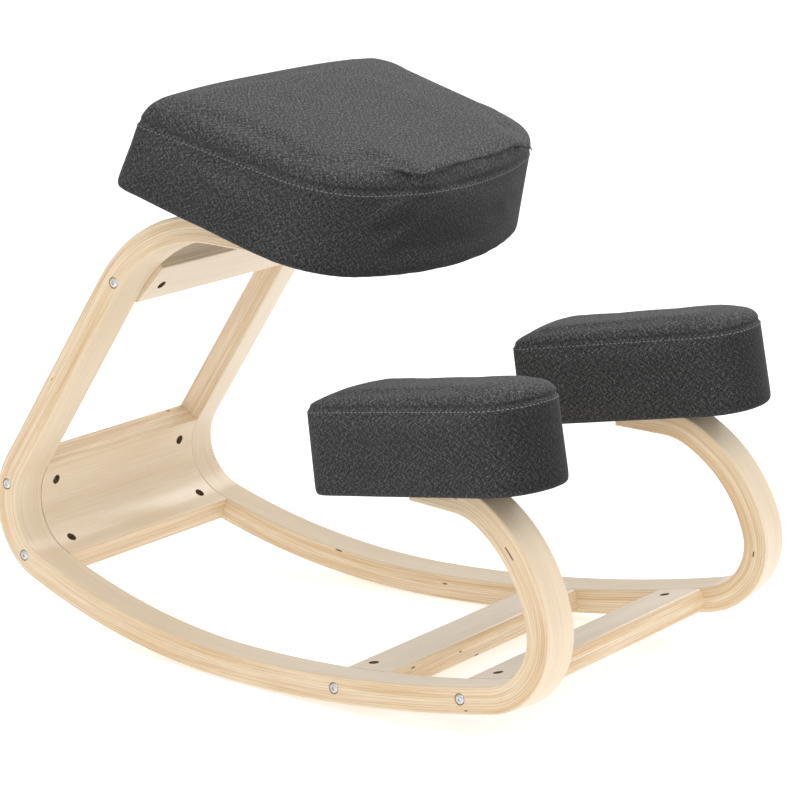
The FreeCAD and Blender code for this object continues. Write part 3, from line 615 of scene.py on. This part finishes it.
def outline(shape, inset, softer=0.0):
    """Evenly spaced points of the D outline, from the middle of the rear edge by way of +X."""
    rear, front = shape["rear"] - inset, shape["front"] - inset
    bow = (shape["front"] ** 2 + shape["bulge"] ** 2) / (2 * shape["bulge"]) - inset
    drop = bow - math.sqrt(bow ** 2 - front ** 2)
    low = inset - shape["length"]
    rear_radius = max(shape["rear_corner"] - inset, shape["rear_corner"] / 3) + softer
    front_radius = max(shape["front_corner"] - inset, shape["front_corner"] / 3)
    corner = np.array([rear, -inset])
    way = np.array([front, low + drop]) - corner
    way /= np.linalg.norm(way)
    inside = np.array([way[1], -way[0]])
    rear_centre = corner + way * (-rear_radius * (1 + inside[1]) / way[1]) + inside * rear_radius
    bow_centre = np.array([0.0, low + bow])
    offset = corner + inside * front_radius - bow_centre
    slide = offset @ way
    reach = -slide + math.sqrt(slide ** 2 - offset @ offset + (bow - front_radius) ** 2)
    front_centre = corner + way * reach + inside * front_radius
    side_angle = math.degrees(math.atan2(-inside[1], -inside[0]))
    to_front = front_centre - bow_centre
    bow_angle = math.degrees(math.atan2(to_front[1], to_front[0]))
    half = np.concatenate([
        [[0.0, -inset]],
        arc_points(rear_centre, rear_radius, 90, side_angle, 10),
        arc_points(front_centre, front_radius, side_angle, bow_angle, 24),
        arc_points(bow_centre, bow, bow_angle, -90, 24),
    ])
    whole = np.concatenate([half, half[-2:0:-1] * np.array([-1, 1]), half[:1]])
    lengths = np.concatenate([[0], np.cumsum(np.linalg.norm(np.diff(whole, axis=0), axis=1))])
    places = np.linspace(0, lengths[-1], RIM_POINTS, endpoint=False)
    return np.stack([np.interp(places, lengths, whole[:, axis]) for axis in (0, 1)], 1)


def rim(shape, inset, height, rise=0.0, softer=0.0):
    flat = outline(shape, inset, softer)
    return np.column_stack([flat, height - math.tan(math.radians(rise)) * flat[:, 1]])


def active_only(obj):
    bpy.ops.object.select_all(action="DESELECT")
    obj.select_set(True)
    bpy.context.view_layer.objects.active = obj


def seam_height(shape, y):
    return shape["seam"] - math.tan(math.radians(shape["seam_rise"])) * y


def stuffed_box(name, shape, smaller):
    """Crowned box with a D outline, drawn-in sides and a recess below, made by extruding its rim upwards."""
    levels = [
        rim(shape, LIP + smaller, shape["recess"] + 0.0015),
        rim(shape, LIP + smaller, 0.0),
        rim(shape, 0.004 + smaller, 0.0),
        rim(shape, 0.001 + smaller, 0.0015),
        rim(shape, smaller, 0.004),
        rim(shape, shape["inset"] / 2 + smaller, shape["seam"] / 2, shape["seam_rise"] / 2),
        rim(shape, shape["inset"] + smaller, shape["seam"], shape["seam_rise"]),
    ]
    for further, share in shape["profile"]:
        rise = shape["seam_rise"] + share * (shape["crown_rise"] - shape["seam_rise"])
        inset = shape["inset"] + smaller + further
        level = rim(shape, inset, shape["seam"] + share * shape["crown"], rise, further * 2.5)
        across = np.abs(level[:, 0]) / shape["rear"]
        level[:, 2] += share * shape["dome"] * (1 - 3 * across ** 3)
        levels.append(level)
    bpy.ops.mesh.primitive_circle_add(vertices=RIM_POINTS, radius=0.1, fill_type="NGON")
    box = bpy.context.active_object
    box.name = box.data.name = name
    bpy.ops.object.mode_set(mode="EDIT")
    for number, level in enumerate(levels):
        bpy.ops.mesh.select_all(action="DESELECT")
        mesh = bmesh.from_edit_mesh(box.data)
        mesh.verts.ensure_lookup_table()
        if number:
            top = mesh.verts[-RIM_POINTS:]
            for vert in top:
                vert.select = True
            mesh.select_flush(True)
            bmesh.update_edit_mesh(box.data)
            bpy.ops.mesh.extrude_region_move()
            mesh = bmesh.from_edit_mesh(box.data)
            mesh.verts.ensure_lookup_table()
        moved = [vert for vert in mesh.verts if vert.select] if number else list(mesh.verts)
        moved.sort(key=lambda vert: vert.index)
        for vert, place in zip(moved, level):
            vert.co = place
        bmesh.update_edit_mesh(box.data)
    bpy.ops.mesh.select_all(action="SELECT")
    bpy.ops.mesh.normals_make_consistent(inside=False)
    bpy.ops.object.mode_set(mode="OBJECT")
    return box


def to_outline(points, inset, shape):
    """Shortest distance of points to the outline in plan, negative outside it, and the distance round it."""
    loop = outline(shape, inset)
    ends = np.roll(loop, -1, axis=0)
    way = ends - loop
    length = np.linalg.norm(way, axis=1)
    travelled = np.concatenate([[0], np.cumsum(length)[:-1]])
    flat = points[:, None, :2] - loop[None]
    share = np.clip((flat * way[None]).sum(2) / (length ** 2)[None], 0, 1)
    gap = np.linalg.norm(flat - share[..., None] * way[None], axis=2)
    nearest = gap.argmin(1)
    rows = np.arange(len(points))
    cross = way[nearest, 0] * flat[rows, nearest, 1] - way[nearest, 1] * flat[rows, nearest, 0]
    signed = np.where(cross < 0, gap[rows, nearest], -gap[rows, nearest])
    return signed, travelled[nearest] + share[rows, nearest] * length[nearest], length.sum()


def swell(cushion, shape, cap):
    """Air pressure inside the cover for twenty frames, kept straight outwards, with the underside held."""
    rest = points_of(cushion.data)
    skin = normals_of(cushion.data)
    held = cushion.vertex_groups.new(name="held")
    held.add([int(i) for i in np.flatnonzero(rest[:, 2] < 0.014)], 1.0, "REPLACE")
    cloth = cushion.modifiers.new("Air", "CLOTH")
    cloth.settings.use_pressure = True
    cloth.settings.uniform_pressure_force = 4.0
    cloth.settings.effector_weights.gravity = 0.0
    cloth.settings.vertex_group_mass = "held"
    cloth.settings.quality = 5
    cloth.point_cache.frame_end = 20
    for number in range(1, 21):
        scene.frame_set(number)
    active_only(cushion)
    bpy.ops.object.modifier_apply(modifier="Air")
    scene.frame_set(1)
    moved = points_of(cushion.data) - rest
    outward = (moved * skin).sum(1)
    print("%s swelled by up to %.1f mm" % (cushion.name, outward.max() * 1000))
    outward = np.clip(outward, 0, cap)
    cushion.data.vertices.foreach_set("co", (rest + skin * outward[:, None]).ravel())
    cushion.data.update()


def crease_seam(cushion, shape, seams):
    """Presses a narrow valley into the skin along each seam height."""
    points = points_of(cushion.data)
    normals = normals_of(cushion.data)
    outward = np.clip((0.96 - np.abs(normals[:, 2])) / 0.35, 0, 1)
    _, run, _ = to_outline(points, shape["inset"], shape)
    pucker = 0.5 + 0.5 * np.sin(run * 2 * math.pi / 0.031) * np.sin(run * 2 * math.pi / 0.047)
    for below, depth, width in seams:
        gap = points[:, 2] - seam_height(shape, points[:, 1]) + below
        press = depth * np.exp(-(gap / width) ** 2) * (0.8 + 0.4 * pucker) * outward
        points -= normals * press[:, None]
    cushion.data.vertices.foreach_set("co", points.ravel())
    cushion.data.update()


def map_weave(cushion, shape):
    """Weave map in metres: flat parts are laid out in plan, and steep parts are unrolled round the outline."""
    mesh = cushion.data
    points = points_of(mesh)
    _, run, whole = to_outline(points, 0.0, shape)
    centres = np.array([polygon.center[:] for polygon in mesh.polygons])
    _, centre_run, _ = to_outline(centres, 0.0, shape)
    slopes = np.array([abs(polygon.normal.z) for polygon in mesh.polygons])
    layer = mesh.uv_layers.new(name="weave")
    corners = np.empty(len(mesh.loops), int)
    mesh.loops.foreach_get("vertex_index", corners)
    owner = np.repeat(np.arange(len(mesh.polygons)), [polygon.loop_total for polygon in mesh.polygons])
    turned = run[corners] - centre_run[owner]
    turned -= np.round(turned / whole) * whole
    flat = (slopes > 0.62)[owner]
    u = np.where(flat, points[corners, 0], turned + centre_run[owner] + 5)
    v = np.where(flat, points[corners, 1], points[corners, 2] + 5)
    layer.data.foreach_set("uv", np.stack([u, v], 1).ravel())


def store_painted_side_shade(cushion):
    """How light the cloth is painted: full on the top, and darker down the sides and front with painted shade."""
    normals = normals_of(cushion.data)
    upward = np.clip(normals[:, 2], 0, 1) ** 0.8
    forward = np.clip(0.35 * normals[:, 0] - 0.94 * normals[:, 1], 0, 1)
    painted_side_shade = upward + (1 - upward) * (0.46 - 0.28 * forward)
    cushion.data.attributes.new("painted_side_shade", "FLOAT", "POINT").data.foreach_set("value", painted_side_shade.astype(np.float32))


def build_cushion(name, shape, place, voxel, cap, seams):
    smaller = 0.4 * cap
    cushion = stuffed_box(name, shape, smaller)
    active_only(cushion)
    cushion.data.remesh_voxel_size = voxel
    bpy.ops.object.voxel_remesh()
    swell(cushion, shape, cap)
    smooth = cushion.modifiers.new("Smooth", "SMOOTH")
    smooth.factor = 0.5
    smooth.iterations = 5
    bpy.ops.object.modifier_apply(modifier="Smooth")
    finer = cushion.modifiers.new("Finer", "SUBSURF")
    finer.levels = finer.render_levels = 1
    bpy.ops.object.modifier_apply(modifier="Finer")
    crease_seam(cushion, shape, seams)
    map_weave(cushion, shape)
    cushion.data.materials.clear()
    cushion.data.materials.append(WEAVE)
    # Stores the painted shade of the sides and front, taken from the direction each point faces.
    store_painted_side_shade(cushion)
    bpy.ops.object.shade_smooth()
    cushion.data.transform(place)
    cushion.vertex_groups.clear()
    print(name, "faces:", len(cushion.data.polygons))
    return cushion


# %% [markdown]
# The stitches are short threads laid along the seam. Each one is found on the finished skin, so it follows the
# swelling.

# %% Stitches
def stitch_line(name, cushion, shape, place, below, length, pitch, thickness):
    """Row of short rounded threads along the side, a little under or over the seam."""
    tree = BVHTree.FromObject(cushion, bpy.context.evaluated_depsgraph_get())
    line = outline(shape, shape["inset"])
    ends = np.concatenate([line, line[:1]])
    lengths = np.concatenate([[0], np.cumsum(np.linalg.norm(np.diff(ends, axis=0), axis=1))])
    count = int(lengths[-1] / pitch)
    bpy.ops.mesh.primitive_cylinder_add(vertices=8, radius=thickness, depth=length)
    pattern = bpy.context.active_object
    bpy.ops.object.mode_set(mode="EDIT")
    bpy.ops.mesh.select_all(action="SELECT")
    bpy.ops.mesh.subdivide(number_cuts=2)
    bpy.ops.object.mode_set(mode="OBJECT")
    shape_points = points_of(pattern.data)
    pinch = np.sqrt(np.maximum(0.05, 1 - (shape_points[:, 2] / (length / 2)) ** 2))
    shape_points[:, :2] *= pinch[:, None]
    faces = [list(polygon.vertices) for polygon in pattern.data.polygons]
    bpy.data.objects.remove(pattern)
    all_points, all_faces = [], []
    for number in range(count):
        where = (number + 0.5) * pitch
        here = [np.interp(where + shift, lengths, ends[:, axis]) for shift in (-0.001, 0.001) for axis in (0, 1)]
        middle = Vector(((here[0] + here[2]) / 2, (here[1] + here[3]) / 2, 0))
        middle.z = seam_height(shape, middle.y) - below
        ahead = (place.to_3x3() @ Vector((here[2] - here[0], here[3] - here[1], 0))).normalized()
        spot, normal, _, _ = tree.find_nearest(place @ middle)
        side = normal.cross(ahead).normalized()
        ahead = side.cross(normal)
        turn = Matrix((side, normal, ahead)).transposed()
        spot = spot + normal * thickness * 0.25
        placed = shape_points @ np.array(turn).T + np.array(spot)
        all_faces += [[index + len(all_points) * len(placed) for index in face] for face in faces]
        all_points.append(placed)
    mesh = bpy.data.meshes.new(name)
    mesh.from_pydata(np.concatenate(all_points).tolist(), [], all_faces)
    stitches = bpy.data.objects.new(name, mesh)
    scene.collection.objects.link(stitches)
    mesh.materials.append(STITCH)
    active_only(stitches)
    bpy.ops.object.shade_smooth()
    print(name, "stitches:", count)
    return stitches


# %% Build the seat and the knee pads
CUSHIONS = [
    ("seat", SEAT, SEAT_PLACE, 0.005, 0.004, [(0.0, 0.0013, 0.0022)], 0.004, 0.7),
    ("right_knee", KNEE, knee_place(-1), 0.0042, 0.003, [(0.0, 0.0014, 0.0020)], 0.0035, 0.75),
    ("left_knee", KNEE, knee_place(1), 0.0042, 0.003, [(0.0, 0.0014, 0.0020)], 0.0035, 0.75),
]
for name, shape, place, voxel, cap, seams, stitch_drop, fill in CUSHIONS:
    cushion = build_cushion(name + "_cushion", shape, place, voxel, cap, seams)
    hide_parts(name + "_cover", name + "_foam")
    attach(cushion, "root")
    stitches = stitch_line(name + "_stitching", cushion, shape, place, stitch_drop, 0.0030, 0.0046, 0.0005)
    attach(stitches, "root")


# %% [markdown]
# ## Bolt heads
# The joint bolts are button-head screws: a low dome with a hexagon socket. The CAD keeps the head a plain disc, so
# each bolt is drawn again here on the same axis: a profile is spun into the dome, and the shank is extruded.

# %% Bolts
def button_bolt(points, outward):
    """One bolt with a domed head and a hexagon socket, on the axis of a CAD bolt whose head points outwards."""
    along = points @ outward
    top, tip = along.max(), along.min()
    head = points[along > top - 0.0034]
    centre = (head.max(0) + head.min(0)) / 2
    centre = centre + outward * (top - centre @ outward)
    work = bmesh.new()
    profile = [(0.0030, tip - top), (0.0030, -0.0033), (0.00525, -0.0033), (0.00525, -0.0026)]
    profile += [(0.00525 * math.cos(a), -0.0026 + 0.0026 * math.sin(a)) for a in np.radians([12, 25, 38, 50])]
    profile += [(0.00265, -0.0004), (0.00245, -0.0006)]
    turns = np.radians(np.arange(0, 360, 7.5))
    rings = []
    for radius, height in profile:
        rings.append([work.verts.new((radius * math.cos(a), radius * math.sin(a), height)) for a in turns])
    for height in (-0.0006, -0.0021):
        ring = []
        for a in turns:
            radius = 0.0020 / math.cos(a % math.radians(60) - math.radians(30))
            ring.append(work.verts.new((radius * math.cos(a), radius * math.sin(a), height)))
        rings.append(ring)
    for first, second in zip(rings, rings[1:]):
        for i in range(len(first)):
            j = (i + 1) % len(first)
            work.faces.new((first[i], first[j], second[j], second[i]))
    work.faces.new(list(reversed(rings[0])))
    work.faces.new(rings[-1])
    bmesh.ops.recalc_face_normals(work, faces=work.faces)
    turn = Vector(outward).to_track_quat("Z", "X").to_matrix().to_4x4()
    work.transform(Matrix.Translation(centre) @ turn)
    mesh = bpy.data.meshes.new("bolt")
    work.to_mesh(mesh)
    work.free()
    piece = bpy.data.objects.new("bolt", mesh)
    scene.collection.objects.link(piece)
    return piece


for joint in ("top_crossbar", "rear_plate", "rear_floor_crossbar", "front_floor_crossbar"):
    bolts = []
    for points in loose_parts(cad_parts[joint + "_bolts"].data):
        side = 1 if points[:, 0].mean() > 0 else -1
        outward = frame_matrix(side).to_3x3() @ Vector((0, 0, side))
        bolts.append(button_bolt(points, np.array(outward)))
    active_only(bolts[0])
    for bolt in bolts:
        bolt.select_set(True)
    bpy.ops.object.join()
    joined = bolts[0]
    joined.name = joined.data.name = joint + "_button_bolts"
    joined.data.materials.append(STEEL)
    bpy.ops.object.shade_smooth_by_angle(angle=math.radians(35))
    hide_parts(joint + "_bolts")
    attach(joined, "root")
    print(joined.name, "bolts:", len(bolts))


# %% [markdown]
# ## Studio
# The photograph is a cut-out on white. A pale floor takes the soft shadows, the sky behind is white for the camera,
# and three soft lamps shape it: one high, one low in front, and one beside it that glances off the bent plate.

# %% Floor, light and camera
def studio_floor():
    material, tree, shader = surface("studio_floor")
    place = put(tree, "ShaderNodeTexCoord").outputs["Object"]
    cloud = noise(tree, place, 3.0, 2.0)
    tree.links.new(ramp(tree, cloud, (0.3, grey(0.9)), (0.7, grey(0.92))), shader.inputs["Base Color"])
    shader.inputs["Roughness"].default_value = 0.9
    shader.inputs["Specular IOR Level"].default_value = 0.1
    shader.inputs["Emission Color"].default_value = (1, 1, 1, 1)
    shader.inputs["Emission Strength"].default_value = 0.42
    return material


bpy.ops.mesh.primitive_plane_add(size=14, location=(0, 0, -0.0005))
floor = bpy.context.active_object
floor.name = "floor"
floor.data.materials.append(studio_floor())

world = scene.world or bpy.data.worlds.new("studio")
scene.world = world
world.use_nodes = True
tree = world.node_tree
tree.nodes.clear()
light_path = put(tree, "ShaderNodeLightPath")
seen = light_path.outputs["Is Camera Ray"]
soft = put(tree, "ShaderNodeBackground", Color=(1, 1, 1, 1), Strength=0.88)
white = put(tree, "ShaderNodeBackground", Color=(1, 1, 1, 1), Strength=1.0)
mixed = put(tree, "ShaderNodeMixShader", i0=seen, i1=soft.outputs[0], i2=white.outputs[0])
put(tree, "ShaderNodeOutputWorld", Surface=mixed.outputs[0])


def lamp(name, place, target, size, power):
    data = bpy.data.lights.new(name, "AREA")
    data.shape = "SQUARE"
    data.size = size
    data.energy = power
    made = bpy.data.objects.new(name, data)
    scene.collection.objects.link(made)
    made.location = place
    made.rotation_euler = (Vector(target) - Vector(place)).to_track_quat("-Z", "Y").to_euler()
    return made


lamp("key", (-1.7, -1.2, 2.4), (0, 0, 0.25), 1.6, 12.0)
lamp("front", (-0.5, -2.8, 1.1), (0, -0.1, 0.2), 1.6, 9.0)
lamp("side", (1.75, 0.1, 1.45), (0, 0.3, 0.15), 0.9, 8.0)

camera_data = bpy.data.cameras.new("photo_camera")
camera_data.lens = 3267.12 * 36 / 789
camera_data.clip_start, camera_data.clip_end = 0.1, 60
camera = bpy.data.objects.new("photo_camera", camera_data)
scene.collection.objects.link(camera)
camera.location = (-2.5918, -1.8778, 1.0357)
camera.rotation_euler = (math.radians(90 - 13.66), 0, math.radians(35.46 - 90))
scene.camera = camera
scene.view_settings.view_transform = "Standard"
